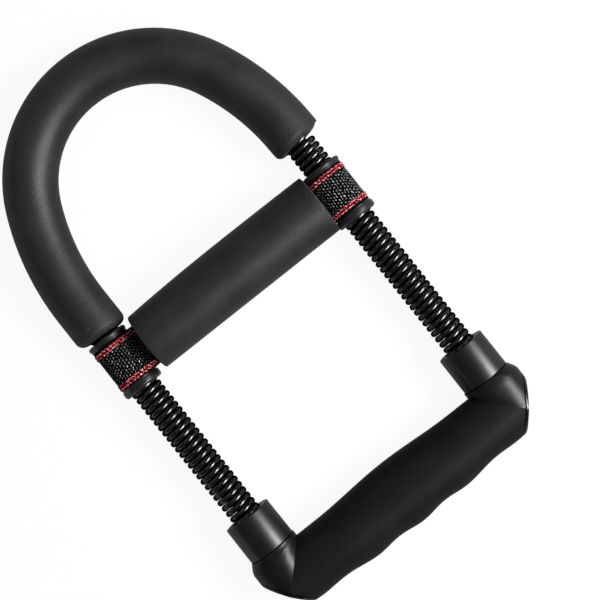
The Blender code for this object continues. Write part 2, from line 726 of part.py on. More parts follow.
def make_end_caps(floor):
    """A thin plate over each chamfered end, with a hollow boss that plugs the core's channel."""
    for name, side in SIDES:
        normal = chamfer_normal(side)
        face = on_side(CHAMFER_TOP, side)
        inner_face = face - normal * CAP_THICKNESS
        plate = link_cutter(slab(f"{name}_cap_plate", inner_face, normal, CAP_THICKNESS, LENGTH))
        combine(plate, "INTERSECT", link_cutter(grip_blank(f"{name}_cap_outline")))
        inside_x = side * (CORE_HALF_LENGTH + SEAT_GAP)
        inwards = Vector((-side, 0, 0))
        reach = 2 * LENGTH
        to_core = slab(f"{name}_cap_core_side", (inside_x, 0, 0), inwards, reach, reach)
        hollow = core_cavity(f"{name}_cap_hollow", -CAP_BOSS_WALL)
        hollow_end = inner_face - normal * CAP_BOSS_WALL
        cut(hollow, link_cutter(slab(f"{name}_cap_hollow_end", hollow_end, normal, LENGTH, reach)))
        cap = core_cavity(f"{name}_end_cap", 0)
        beyond = slab(f"{name}_cap_beyond", face - normal * CAP_THICKNESS / 2, normal, LENGTH, reach)
        cut(cap, link_cutter(to_core), link_cutter(hollow), link_cutter(beyond))
        combine(cap, "UNION", plate)
        cut(cap, floor)
        link_piece(cap, gloss_plastic, handle)


clear_scene()
parts = make_collection("forearm_trainer")
cutters = make_collection("cutters", hidden=True)

foam = make_material("foam", (0.055, 0.055, 0.055), 0.85)
webbing = make_material("webbing", (0.03, 0.03, 0.035), 0.9)
matt_plastic = make_material("matt_plastic", (0.02, 0.02, 0.02), 0.5)
gloss_plastic = make_material("gloss_plastic", (0.02, 0.02, 0.02), 0.25)
spring_steel = make_material("spring_steel", (0.015, 0.015, 0.015), 0.25, 0.6)
black_steel = make_material("black_steel", (0.03, 0.03, 0.03), 0.4, 0.8)
bright_steel = make_material("bright_steel", (0.55, 0.55, 0.56), 0.35, 1.0)

frame = add_empty("frame", (0, 0, 0))
crossbar = add_empty("crossbar", (0, CROSSBAR_Y, ARM_HEIGHT))
handle = add_empty("handle", (0, FLEX_Y, ARM_HEIGHT))

floor_size = (2 * LENGTH, 2 * LENGTH, LENGTH)
floor_plane = link_cutter(box("floor", floor_size, (0, 0, -LENGTH / 2)))

make_bar()
make_foam_sleeve(floor_plane)
make_springs()
make_stops()
make_spools()
make_strap()
make_pad(floor_plane)
make_collars()
make_grip(floor_plane)
make_core()
make_fixings()
make_end_caps(floor_plane)

print(f"handle turns about y {FLEX_Y:.5f}, z {ARM_HEIGHT:.5f}; spools at y {CROSSBAR_Y:.5f}")
print(f"length {LENGTH:.5f}; collar rim y {RIM_Y:.5f}, seat y {SEAT_Y:.5f}, grip corner y {CORNER_Y:.5f}")
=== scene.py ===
"""Looks of the forearm trainer: foam, webbing, coated wire and moulded plastic, on a white floor."""

import math

import bmesh
import bpy
from mathutils import Matrix, Vector


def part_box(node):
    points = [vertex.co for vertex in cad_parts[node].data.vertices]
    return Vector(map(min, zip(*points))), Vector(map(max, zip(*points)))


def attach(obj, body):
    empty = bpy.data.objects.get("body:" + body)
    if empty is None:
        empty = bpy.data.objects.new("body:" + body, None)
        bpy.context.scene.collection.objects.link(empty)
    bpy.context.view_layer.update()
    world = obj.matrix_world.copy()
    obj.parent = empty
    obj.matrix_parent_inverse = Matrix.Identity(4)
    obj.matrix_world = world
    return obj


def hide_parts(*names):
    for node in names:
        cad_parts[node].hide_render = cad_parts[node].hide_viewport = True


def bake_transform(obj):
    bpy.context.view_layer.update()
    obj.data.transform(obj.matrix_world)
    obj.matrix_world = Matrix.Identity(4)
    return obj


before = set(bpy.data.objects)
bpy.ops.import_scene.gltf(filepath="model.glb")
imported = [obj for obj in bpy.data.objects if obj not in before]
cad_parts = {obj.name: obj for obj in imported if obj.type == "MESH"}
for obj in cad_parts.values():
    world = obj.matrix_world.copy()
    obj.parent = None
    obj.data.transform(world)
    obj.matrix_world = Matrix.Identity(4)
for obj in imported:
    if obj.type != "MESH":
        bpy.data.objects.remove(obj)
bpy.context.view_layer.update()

# Sizes that the solids have too, in metres
HALF_SPACING = 0.0717
ARM_HEIGHT = 0.0141
FLOOR_FLAT = 0.0005
LOOP_RADIUS = 0.0654
LOOP_TURN = math.radians(65)
FOAM_RADIUS = 0.0146
SPRING_PITCH = 0.0036
LEG_BEND_RADIUS = 0.0040
STRAP_THICKNESS = 0.0012
SLIDE_GAP = 0.0003
COLLAR_LENGTH = 0.0215
COLLAR_FLOOR = 0.0045
COLLAR_BORE_RADIUS = 0.0096
SPIGOT_RADIUS = 0.0090
SPIGOT_LENGTH = 0.0040
BOLT_HOLE_RADIUS = 0.0028
GRIP_THICKNESS = 0.0290

# The springs and the strap's loops are drawn a little larger than in the solids
SPRING_RADIUS = 0.0086
WIRE_RADIUS = 0.00172
COIL_RADIUS = SPRING_RADIUS - WIRE_RADIUS
STRAP_RADIUS = 0.01095

# Places that follow from the solids
APEX_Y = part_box("u_foam_sleeve")[1].y - FOAM_RADIUS
FLANK_RADIUS = (HALF_SPACING - LOOP_RADIUS * math.sin(LOOP_TURN)) / (1 - math.sin(LOOP_TURN))
LEGS_Y = APEX_Y - LOOP_RADIUS * (1 - math.cos(LOOP_TURN)) - FLANK_RADIUS * math.cos(LOOP_TURN)
CREST_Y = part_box("grip")[0].y
RIM_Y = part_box("left_collar")[1].y
SEAT_Y = RIM_Y - COLLAR_LENGTH
SPRING_LOW_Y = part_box("left_spring")[0].y
SPRING_HIGH_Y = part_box("left_spring")[1].y
CROSSBAR_Y = sum(corner.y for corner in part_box("forearm_strap")) / 2
ROLL_LOW, ROLL_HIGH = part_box("forearm_pad")
SIDES = (("left", -1), ("right", 1))


class Number:
    """A number or colour that a shader node gives. Python's operators on numbers add Math nodes."""

    def __init__(self, nodes, socket):
        self.nodes = nodes
        self.socket = socket

    def __add__(self, other):
        return self.nodes.maths("ADD", self, other)

    def __sub__(self, other):
        return self.nodes.maths("SUBTRACT", self, other)

    def __rsub__(self, other):
        return self.nodes.maths("SUBTRACT", other, self)

    def __mul__(self, other):
        return self.nodes.maths("MULTIPLY", self, other)

    def __truediv__(self, other):
        return self.nodes.maths("DIVIDE", self, other)

    def __gt__(self, other):
        return self.nodes.maths("GREATER_THAN", self, other)

    __radd__ = __add__
    __rmul__ = __mul__


class Nodes:
    """The shader nodes of a material or of the world."""

    def __init__(self, tree):
        self.tree = tree

    def connect(self, socket, value):
        """Links a node's output to a socket, or sets the socket to a plain value."""
        value = getattr(value, "socket", value)
        if isinstance(value, bpy.types.NodeSocket):
            self.tree.links.new(value, socket)
        elif value is not None:
            socket.default_value = value

    def node(self, kind, output=0, settings=None, **inputs):
        """Adds a node with its settings and inputs, and gives one of its outputs."""
        node = self.tree.nodes.new("ShaderNode" + kind)
        for name, value in (settings or {}).items():
            setattr(node, name, value)
        for name, value in inputs.items():
            self.connect(node.inputs[name.replace("_", " ")], value)
        return Number(self, node.outputs[output])

    def maths(self, operation, *values):
        """A Math node, whose values go in by their place because its sockets share a name."""
        result = self.node("Math", settings={"operation": operation})
        for socket, value in zip(result.socket.node.inputs, values):
            self.connect(socket, value)
        return result

    def mix(self, factor, low, high):
        """A colour between two others, at a factor from 0 to 1."""
        low, high = [colour if isinstance(colour, Number) else (*colour, 1) for colour in (low, high)]
        settings = {"data_type": "RGBA"}
        return self.node("Mix", output="Result", settings=settings, Factor=factor, A=low, B=high)

    def place(self):
        """Where a point lies in the shared frame, in metres."""
        return self.node("TexCoord", output="Object")

    def axes(self, vector):
        """The first two numbers of a vector."""
        x = self.node("SeparateXYZ", Vector=vector)
        return x, Number(self, x.socket.node.outputs["Y"])

    def noise(self, scale, detail, where=None):
        """Soft blotches, about scale of them to a metre."""
        return self.node("TexNoise", Vector=where or self.place(), Scale=scale, Detail=detail)

    def ramp(self, value, low, high):
        """A number that climbs from 0 to 1 as the value goes from low to high."""
        settings = {"interpolation_type": "SMOOTHSTEP"}
        return self.node("MapRange", settings=settings, Value=value, From_Min=low, From_Max=high)

    def seen_by(self, *rays):
        """1 for the kinds of ray named, 0 for others."""
        return sum(self.node("LightPath", output=f"Is {ray} Ray") for ray in rays)


class Finish(Nodes):
    """A surface's material."""

    def __init__(self, name, colour, roughness, **sockets):
        self.material = bpy.data.materials.new(name)
        self.material.use_nodes = True
        super().__init__(self.material.node_tree)
        self.shader = self.tree.nodes["Principled BSDF"]
        self.set("Base Color", (*colour, 1))
        self.set("Roughness", roughness)
        for socket, value in sockets.items():
            self.set(socket.replace("_", " "), value)

    def set(self, socket, value):
        self.connect(self.shader.inputs[socket], value)

    def bump(self, height, depth, before=None):
        """Relief of a depth in metres, on top of an earlier one where it is given."""
        normal = self.node("Bump", Height=height, Distance=depth, Normal=before)
        self.set("Normal", normal)
        return normal


def foam_finish():
    """Closed-cell foam: a fine leathery skin with small pale specks, rougher towards the sleeve's ends."""
    finish = Finish("foam_skin", (0.012, 0.012, 0.012), 0.48)
    x, y = finish.axes(finish.place())
    left_end, right_end = SLEEVE_ENDS[-1][0], SLEEVE_ENDS[1][0]
    from_end = y - ((x > 0) * (right_end - left_end) + left_end)
    leg_inside = HALF_SPACING - FOAM_RADIUS
    on_leg = finish.ramp(finish.maths("ABSOLUTE", x), leg_inside - 0.0001, leg_inside + 0.0001)
    worn = finish.ramp(from_end, 0.013, 0.001) * on_leg
    cloud = finish.ramp(finish.noise(45, 2), 0.3, 0.7)
    grain = finish.noise(1500, 3)
    speck = finish.ramp(finish.noise(900, 1), 0.60, 0.74)
    pale = cloud * 0.3 + speck * (worn * 1.6 + 0.2) + grain * 0.4
    finish.set("Base Color", finish.mix(pale, (0.006, 0.006, 0.006), (0.028, 0.028, 0.027)))
    finish.set("Roughness", 0.36 + cloud * 0.05 + grain * 0.2 + worn * 0.1)
    fine = finish.bump(grain + speck * worn * 1.5, 0.00012)
    finish.bump(cloud, 0.0001, fine)
    return finish.material


def cut_foam_finish():
    """Foam where it has been cut: open cells. On the roll's end rims this paler colour also stands as a
    painted highlight.
    """
    finish = Finish("cut_foam", (0.03, 0.03, 0.03), 0.8)
    cells = finish.node("TexVoronoi", Vector=finish.place(), Scale=1300)
    walls = finish.ramp(cells, 0.1, 0.6)
    finish.set("Base Color", finish.mix(walls, (0.012, 0.012, 0.012), (0.07, 0.07, 0.07)))
    finish.bump(cells, 0.00015)
    return finish.material


WEAVE_ROW = 0.00165
WEAVE_COLUMN = 0.0019
WEAVE_HALF_WIDTH = 0.0080
WEAVE_FADE = 0.0003


def webbing_finish():
    """Woven black webbing: staggered pale flecks, each a little different, between plain dark edges. The
    flecks are partly pale yarn and partly painted highlights, and are painted brighter on the right strap
    as painted light.
    """
    finish = Finish("webbing", (0.004, 0.004, 0.004), 0.6, Specular_IOR_Level=0.04)
    along, across = finish.axes(finish.node("UVMap", settings={"uv_map": "webbing"}))
    wander = finish.noise(700, 1)
    rows = along / WEAVE_ROW + wander * 0.9
    row = finish.maths("FLOOR", rows)
    stagger = finish.maths("FLOORED_MODULO", row, 2) * 0.5
    columns = across / WEAVE_COLUMN + stagger + wander * 1.3
    cell = finish.node("CombineXYZ", X=row, Y=finish.maths("FLOOR", columns))
    chance = finish.node("TexWhiteNoise", Vector=cell)
    in_row = finish.maths("ABSOLUTE", finish.maths("FRACT", rows) - 0.5)
    in_column = finish.maths("ABSOLUTE", finish.maths("FRACT", columns) - 0.5)
    from_middle = finish.maths("ABSOLUTE", across)
    woven = finish.ramp(from_middle, WEAVE_HALF_WIDTH + WEAVE_FADE, WEAVE_HALF_WIDTH - WEAVE_FADE)
    # Pale flecks: partly real pale yarn, partly painted highlights on the yarn
    fleck_and_glint = finish.ramp(in_row * 1.25 + in_column + chance * 0.2, 0.50, 0.26) * woven
    threads = finish.maths("ABSOLUTE", finish.maths("FRACT", rows * 2) - 0.5)
    right = finish.axes(finish.place())[0] > 0
    # Painted light: the flecks are painted brighter on the right strap and darker on the left, as if lit
    # from the right
    pale = fleck_and_glint * (chance * chance * chance * 1.6 + 0.2) * (right * 0.5 + 0.75)
    finish.set("Base Color", finish.mix(pale, (0.001, 0.001, 0.001), (0.86, 0.92, 0.92)))
    finish.set("Roughness", 0.7 - fleck_and_glint * 0.2)
    weave = finish.bump(fleck_and_glint + threads * 0.5, 0.0003)
    finish.bump(finish.noise(5000, 1), 0.00006, weave)
    return finish.material


def thread_finish():
    """Red polyester sewing thread, with painted shade in its dark patches and painted glints where its
    twist catches the light.
    """
    finish = Finish("red_thread", (0.25, 0.004, 0.010), 0.45, Specular_IOR_Level=0.03)
    twist = finish.noise(1100, 2)
    # Painted shade: dark patches in the red stand in for shade between the stitches
    red = finish.mix(finish.ramp(twist, 0.40, 0.52), (0.07, 0.001, 0.002), (0.56, 0.035, 0.05))
    # Painted glints: pale pink where the twist would catch the light
    finish.set("Base Color", finish.mix(finish.ramp(twist, 0.55, 0.63), red, (1.0, 0.66, 0.69)))
    finish.bump(twist, 0.0001)
    return finish.material


BLACK = (0.004, 0.004, 0.004)


def moulded_finish(name, colour, roughness, texture, specular):
    """Black moulded plastic with a faint orange-peel texture and scuffs."""
    finish = Finish(name, colour, roughness, Specular_IOR_Level=specular)
    peel = finish.noise(texture, 2)
    cloud = finish.noise(60, 3)
    finish.set("Roughness", roughness + cloud * 0.08 + peel * 0.03)
    lighter = tuple(channel * 1.5 for channel in colour)
    finish.set("Base Color", finish.mix(finish.ramp(cloud, 0.35, 0.75), colour, lighter))
    finish.bump(peel, 0.00003)
    return finish.material


def spring_finish():
    """Gloss black metallic coating on the wound wire."""
    dark = (0.02, 0.02, 0.02, 1)
    finish = Finish("coated_wire", (0.08, 0.08, 0.08), 0.15, Metallic=1.0, Specular_Tint=dark)
    run = finish.noise(350, 2)
    finish.set("Roughness", 0.11 + run * 0.08)
    finish.bump(run, 0.00004)
    return finish.material


def metal_finish(name, colour, roughness):
    """Bare or plated steel with drawing marks along the arms."""
    finish = Finish(name, colour, roughness, Metallic=1.0)
    drawn = finish.node("Mapping", Vector=finish.place(), Scale=(1, 0.05, 1))
    marks = finish.noise(1800, 3, where=drawn)
    finish.set("Roughness", roughness + marks * 0.15)
    darker = tuple(channel * 0.7 for channel in colour)
    finish.set("Base Color", finish.mix(marks, darker, colour))
    finish.bump(marks, 0.00004)
    return finish.material


def piece(bm, name, body, slot, *materials, replaced=(), smooth_angle=40):
    """Makes a finished mesh an object on its CAD body, in place of the nodes that it stands for."""
    mesh = bpy.data.meshes.new(name)
    bm.to_mesh(mesh)
    bm.free()
    obj = bpy.data.objects.new(name, mesh)
    bpy.context.scene.collection.objects.link(obj)
    for material in materials:
        mesh.materials.append(material)
    mesh.shade_smooth()
    mesh.set_sharp_from_angle(angle=math.radians(smooth_angle))
    if body:
        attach(obj, body)
    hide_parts(*replaced)
    return obj


def clean(bm):
    """Closes seams and poles, and turns all faces outwards."""
    bmesh.ops.remove_doubles(bm, verts=bm.verts, dist=0.000002)
    bmesh.ops.recalc_face_normals(bm, faces=bm.faces)


def pull_ring(bm, ring, move):
    """Extrudes a ring of edges, moves the new ring by a matrix, and returns it."""
    made = bmesh.ops.extrude_edge_only(bm, edges=ring)["geom"]
    verts = [part for part in made if isinstance(part, bmesh.types.BMVert)]
    bmesh.ops.transform(bm, matrix=move, verts=verts)
    fresh = set(verts)
    edges = [part for part in made if isinstance(part, bmesh.types.BMEdge)]
    return [edge for edge in edges if set(edge.verts) <= fresh]


def softened(outline, steps=5):
    """Rounds an outline's corners at the points that carry a third number, the rounding's radius."""
    points = []
    for index, (radius, along, *rounding) in enumerate(outline):
        corner = Vector((radius, along))
        if not rounding:
            points.append(corner)
            continue
        before = (Vector(outline[index - 1][:2]) - corner).normalized()
        after = (Vector(outline[(index + 1) % len(outline)][:2]) - corner).normalized()
        half = before.angle(after) / 2
        centre = corner + (before + after).normalized() * rounding[0] / math.sin(half)
        first = corner + before * rounding[0] / math.tan(half) - centre
        last = corner + after * rounding[0] / math.tan(half) - centre
        arc = [first.slerp(last, step / steps).normalized() for step in range(steps + 1)]
        points += [centre + spoke * rounding[0] for spoke in arc]
    return points


def turned(outline, centre, axis, segments=96):
    """Spins an outline of (radius, distance along the axis) points about an axis through the centre."""
    axis = Vector(axis)
    side = axis.orthogonal().normalized()
    bm = bmesh.new()
    places = [Vector(centre) + side * point.x + axis * point.y for point in softened(outline)]
    verts = [bm.verts.new(place) for place in places]
    for first, second in zip(verts, verts[1:]):
        bm.edges.new((first, second))
    if outline[0][0] > 0:
        bm.edges.new((verts[-1], verts[0]))
    bmesh.ops.spin(
        bm, geom=bm.verts[:] + bm.edges[:], cent=centre, axis=axis, angle=math.tau, steps=segments,
        use_merge=True,
    )
    clean(bm)
    return bm


FLOOR_CLEARANCE = 0.00005


def rest_on_floor(bm):
    """Presses flat what would lie in the floor, just clear of it."""
    for vert in bm.verts:
        vert.co.z = max(vert.co.z, FLOOR_CLEARANCE)


def spin_ring(bm, ring, centre, angle, steps):
    """Sweeps a ring of edges about a vertical axis, and returns the ring at the far end."""
    verts = list({vert for edge in ring for vert in edge.verts})
    result = bmesh.ops.spin(bm, geom=verts + ring, cent=centre, axis=(0, 0, 1), angle=angle, steps=steps)
    return [part for part in result["geom_last"] if isinstance(part, bmesh.types.BMEdge)]


# The foam sleeve: where it ends on each leg and the slant of that end, which fades out along the leg
SLEEVE_ENDS = {-1: (0.0267, -0.055), 1: (0.0425, 0.13)}
SLEEVE_ROUND = 0.0043
SLANT_REACH = 0.015
MOUTH_CHAMFER = 0.0006
POCKET_RADIUS = SPRING_RADIUS + 0.0002
POCKET_TOP_Y = LEGS_Y + 0.0098
POCKET_MIDDLE = 0.0005


def sleeve_end(side):
    """(radius, y) pairs from the pocket's top, out through its mouth and over the rounded end."""
    end = SLEEVE_ENDS[side][0]
    profile = [(POCKET_MIDDLE, POCKET_TOP_Y), (POCKET_RADIUS, POCKET_TOP_Y)]
    profile += [(POCKET_RADIUS, end + MOUTH_CHAMFER), (POCKET_RADIUS + MOUTH_CHAMFER, end)]
    steps = 8
    for step in range(steps + 1):
        angle = math.pi / 2 * step / steps
        inset = SLEEVE_ROUND * (1 - math.sin(angle))
        rise = SLEEVE_ROUND * (1 - math.cos(angle))
        profile.append((FOAM_RADIUS - inset, end + rise))
    return profile


def follow_leg(bm, ring, side, profile):
    """Extrudes a ring along one leg, through the (radius, y) pairs of a profile."""
    x = side * HALF_SPACING
    for (radius, y), (next_radius, next_y) in zip(profile, profile[1:]):
        factor = next_radius / radius
        move = Matrix.Translation((x, next_y, ARM_HEIGHT)) @ Matrix.Diagonal((factor, 1, factor, 1))
        ring = pull_ring(bm, ring, move @ Matrix.Translation((-x, -y, -ARM_HEIGHT)))
    return ring


def make_sleeve():
    """The foam tube over the loop, with a pocket in each end for a spring."""
    bm = bmesh.new()
    stand = Matrix.Rotation(math.pi / 2, 4, "X")
    stand = Matrix.Translation((-HALF_SPACING, POCKET_TOP_Y, ARM_HEIGHT)) @ stand
    bmesh.ops.create_circle(bm, cap_ends=True, segments=64, radius=POCKET_MIDDLE, matrix=stand)
    left_profile = sleeve_end(-1)
    radius, y = left_profile[-1]
    left_profile += [(radius, y + rise) for rise in (0.002, 0.005, 0.009)] + [(radius, LEGS_Y)]
    ring = follow_leg(bm, bm.edges[:], -1, left_profile)
    flank = math.pi / 2 - LOOP_TURN
    ring = spin_ring(bm, ring, (FLANK_RADIUS - HALF_SPACING, LEGS_Y, ARM_HEIGHT), -flank, 20)
    ring = spin_ring(bm, ring, (0, APEX_Y - LOOP_RADIUS, ARM_HEIGHT), -2 * LOOP_TURN, 96)
    ring = spin_ring(bm, ring, (HALF_SPACING - FLANK_RADIUS, LEGS_Y, ARM_HEIGHT), -flank, 20)
    ring = follow_leg(bm, ring, 1, [(radius, LEGS_Y)] + sleeve_end(1)[::-1])
    bmesh.ops.contextual_create(bm, geom=ring)
    clean(bm)
    for vert in bm.verts:
        side = 1 if vert.co.x > 0 else -1
        end, slant = SLEEVE_ENDS[side]
        fade = max(0, 1 - max(0, vert.co.y - end - SLEEVE_ROUND) / SLANT_REACH)
        if vert.co.y < LEGS_Y:
            vert.co.y += slant * (vert.co.x - side * HALF_SPACING) * fade
    rest_on_floor(bm)
    bm.normal_update()
    cut_radius = FOAM_RADIUS - SLEEVE_ROUND * 0.75
    for face in bm.faces:
        middle = face.calc_center_median()
        reach = math.hypot(abs(middle.x) - HALF_SPACING, middle.z - ARM_HEIGHT)
        if middle.y < POCKET_TOP_Y + 0.001 and reach < cut_radius:
            face.material_index = 1
    sleeve = piece(
        bm, "foam_sleeve", "frame", "foam", foam, cut_foam, replaced=["u_foam_sleeve"], smooth_angle=50
    )


# The roll lies a little to the right on its strap. From its fullest place it tapers, most to the left
ROLL_SHIFT = 0.00075
ROLL_EDGE_ROUND = 0.0007
ROLL_FULL_X = 0.010
ROLL_REACH = 0.066
ROLL_FULLNESS = 1.010
ROLL_TAPER_LEFT = 0.046
ROLL_TAPER_POWER = 2.2
ROLL_TAPER_RIGHT = 0.012


def make_roll():
    """The foam roll across the arms, cut square at its ends."""
    radius = (ROLL_HIGH.y - ROLL_LOW.y) / 2
    centre = Vector((0, (ROLL_LOW.y + ROLL_HIGH.y) / 2, radius - FLOOR_FLAT))
    left, right = ROLL_LOW.x + ROLL_SHIFT, ROLL_HIGH.x + ROLL_SHIFT
    steps = 30
    outline = [(0, left), (0.004, left), (radius - 0.003, left), (radius, left, ROLL_EDGE_ROUND)]
    outline += [(radius, left + (right - left) * step / steps) for step in range(1, steps)]
    outline += [(radius, right, ROLL_EDGE_ROUND), (radius - 0.003, right), (0.004, right), (0, right)]
    bm = turned(outline, centre, (1, 0, 0))
    for vert in bm.verts:
        share = (vert.co.x - ROLL_FULL_X) / ROLL_REACH
        if share < 0:
            taper = ROLL_TAPER_LEFT * abs(share) ** ROLL_TAPER_POWER
        else:
            taper = ROLL_TAPER_RIGHT * share ** 2
        vert.co.y = ROLL_LOW.y + (vert.co.y - ROLL_LOW.y) * (ROLL_FULLNESS - taper)
        vert.co.z = vert.co.z * (ROLL_FULLNESS - taper)
    rest_on_floor(bm)
    bm.normal_update()
    # The end faces and the outer part of their rounded rims take the paler cut foam: open cells where the
    # roll was cut, and a painted highlight along the end's edge
    for face in bm.faces:
        if abs(face.normal.x) > 0.5:
            face.material_index = 1
    roll = piece(
        bm, "forearm_roll", "crossbar", "foam", foam, cut_foam, replaced=["forearm_pad"], smooth_angle=50
    )


def strap_tail(side):
    """Where a loop's webbing leaves its spool for the roll.

    Gives the turn there, the length from there to the roll, and the roll's distance from the arm.
    """
    distance = HALF_SPACING - (ROLL_HIGH.x if side > 0 else -ROLL_LOW.x)
    leave = math.pi - math.acos(STRAP_RADIUS / distance) - STRAP_THICKNESS / distance
    return leave, math.sqrt(distance ** 2 - STRAP_RADIUS ** 2), distance


def make_strap():
    """Webbing through the roll, doubled, with a sewn loop round each spool."""
    low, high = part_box("forearm_strap")
    bm = bmesh.new()
    along = bm.verts.layers.float.new("along")
    for side in (-1, 1):
        centre = Vector((side * HALF_SPACING, low.y, ARM_HEIGHT))
        leave, length, distance = strap_tail(side)
        stand = Matrix.Translation(centre) @ Matrix.Rotation(math.pi / 2, 4, "X")
        verts = bmesh.ops.create_circle(bm, segments=120, radius=STRAP_RADIUS, matrix=stand)["verts"]
        for vert in verts:
            turn = math.atan2(vert.co.z - centre.z, side * (vert.co.x - centre.x))
            half = math.copysign(1, turn)
            vert[along] = turn * STRAP_RADIUS
            if abs(turn) > leave:
                share = (abs(turn) - leave) / (math.pi - leave)
                start = Vector((math.cos(leave), 0, half * math.sin(leave))) * STRAP_RADIUS
                place = start.lerp(Vector((-distance, 0, half * STRAP_THICKNESS)), share)
                vert.co = centre + Vector((side * place.x, 0, place.z))
                vert[along] = half * (leave * STRAP_RADIUS + share * length)
        ring = list({edge for vert in verts for edge in vert.link_edges})
        steps = 24
        for step in range(steps):
            ring = pull_ring(bm, ring, Matrix.Translation((0, (high.y - low.y) / steps, 0)))
    bmesh.ops.recalc_face_normals(bm, faces=bm.faces)
    bmesh.ops.solidify(bm, geom=bm.faces[:], thickness=STRAP_THICKNESS)
    web = bmesh.ops.create_cube(bm, size=1)["verts"]
    bmesh.ops.scale(bm, vec=(ROLL_HIGH.x - ROLL_LOW.x, high.y - low.y, 2 * STRAP_THICKNESS), verts=web)
    bmesh.ops.translate(bm, vec=((ROLL_HIGH.x + ROLL_LOW.x) / 2, CROSSBAR_Y, ARM_HEIGHT), verts=web)
    layer = bm.loops.layers.uv.new("webbing")
    for face in bm.faces:
        for corner in face.loops:
            corner[layer].uv = (corner.vert[along], corner.vert.co.y - CROSSBAR_Y)
    piece(bm, "strap_webbing", "crossbar", "webbing", webbing, replaced=["forearm_strap"])


STITCH_LENGTH = 0.0025
STITCH_HALF_SIZE = (0.00048, 0.00078, STITCH_LENGTH * 0.60)
STITCH_LEAN = math.radians(-14)
STITCH_ROWS = (-0.0104, -0.0088, 0.0093, 0.0109)
STITCH_LIFT = 0.0001
STITCH_END_GAP = 0.0005


def make_stitching():
    """Two rows of red stitches side by side along each edge of both loops."""
    bm = bmesh.new()
    shape = Matrix.Diagonal((*STITCH_HALF_SIZE, 1))
    lean = Matrix.Rotation(STITCH_LEAN, 4, "X")
    for side in (-1, 1):
        centre = Matrix.Translation((side * HALF_SPACING, CROSSBAR_Y, ARM_HEIGHT))
        flip = Matrix.Rotation(0 if side > 0 else math.pi, 4, "Z")
        leave, length, _ = strap_tail(side)
        reach = leave * STRAP_RADIUS + length - STITCH_END_GAP
        count = int(2 * reach / STITCH_LENGTH)
        for row, y in enumerate(STITCH_ROWS):
            for index in range(count):
                along = (index + 0.5 * (row % 2) - (count - 1) / 2) * STITCH_LENGTH
                turn = max(-leave, min(leave, along / STRAP_RADIUS))
                out = Matrix.Translation((STRAP_RADIUS + STITCH_LIFT, y, along - turn * STRAP_RADIUS))
                around = Matrix.Rotation(-turn, 4, "Y")
                stitch = bmesh.ops.create_icosphere(bm, subdivisions=1, radius=1)["verts"]
                bmesh.ops.transform(bm, matrix=centre @ flip @ around @ out @ lean @ shape, verts=stitch)
    piece(bm, "strap_stitching", "crossbar", "webbing", thread, smooth_angle=180)


# The spools, whose lower flange tapers towards the spring
SPOOL_BORE_GAP = 0.0001
SPOOL_RIM_RISE = 0.0001
UPPER_FLANGE = 0.0021
LOWER_FLANGE_GAP = 0.0006
TAPER_LENGTH = 0.0011
TAPER_DEPTH = 0.0008


def make_spools():
    """Flanged bushes in the strap's loops, with a low rim on each side of the webbing."""
    low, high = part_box("left_spool")
    flange = (high.x - low.x) / 2
    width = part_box("forearm_strap")[1].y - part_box("forearm_strap")[0].y
    bore = SPRING_RADIUS + SPOOL_BORE_GAP
    barrel = STRAP_RADIUS - STRAP_THICKNESS - SLIDE_GAP
    rim = STRAP_RADIUS + SPOOL_RIM_RISE
    inner = width / 2 + SLIDE_GAP
    top = high.y - CROSSBAR_Y
    upper, lower = top - UPPER_FLANGE, -inner - LOWER_FLANGE_GAP
    foot = -top - TAPER_LENGTH
    outline = [(bore, top), (flange, top, 0.0009), (flange, upper, 0.0005), (rim, upper), (rim, inner)]
    outline += [(barrel, inner), (barrel, -inner), (rim, -inner), (rim, lower), (flange, lower, 0.0005)]
    outline += [(flange, -top, 0.0006), (flange - TAPER_DEPTH, foot, 0.0003), (bore, foot)]
    for name, side in SIDES:
        bm = turned(outline, (side * HALF_SPACING, CROSSBAR_Y, ARM_HEIGHT), (0, 1, 0), 72)
        piece(
            bm, f"{name}_flanged_spool", f"{name}_spool_body", "gloss_plastic", spool_plastic,
            replaced=[f"{name}_spool"], smooth_angle=30,
        )


COLLAR_RIM_RADIUS = 0.01345
COLLAR_FOOT_RADIUS = 0.01355


def make_collars():
    """Sockets for the springs, each with a floor and a spigot that sits in the elbow."""
    floor = SEAT_Y + COLLAR_FLOOR
    spigot = SEAT_Y - SPIGOT_LENGTH
    outline = [(COLLAR_BORE_RADIUS, RIM_Y, 0.00025), (COLLAR_RIM_RADIUS, RIM_Y, 0.0006)]
    outline += [(COLLAR_FOOT_RADIUS, SEAT_Y, 0.0004), (SPIGOT_RADIUS, SEAT_Y), (SPIGOT_RADIUS, spigot)]
    outline += [(BOLT_HOLE_RADIUS, spigot), (BOLT_HOLE_RADIUS, floor), (COLLAR_BORE_RADIUS, floor)]
    for name, side in SIDES:
        bm = turned(outline, (side * HALF_SPACING, 0, ARM_HEIGHT), (0, 1, 0))
        piece(bm, f"{name}_moulded_collar", "handle", "gloss_plastic", gloss, replaced=[f"{name}_collar"])


POINTS_PER_TURN = 28


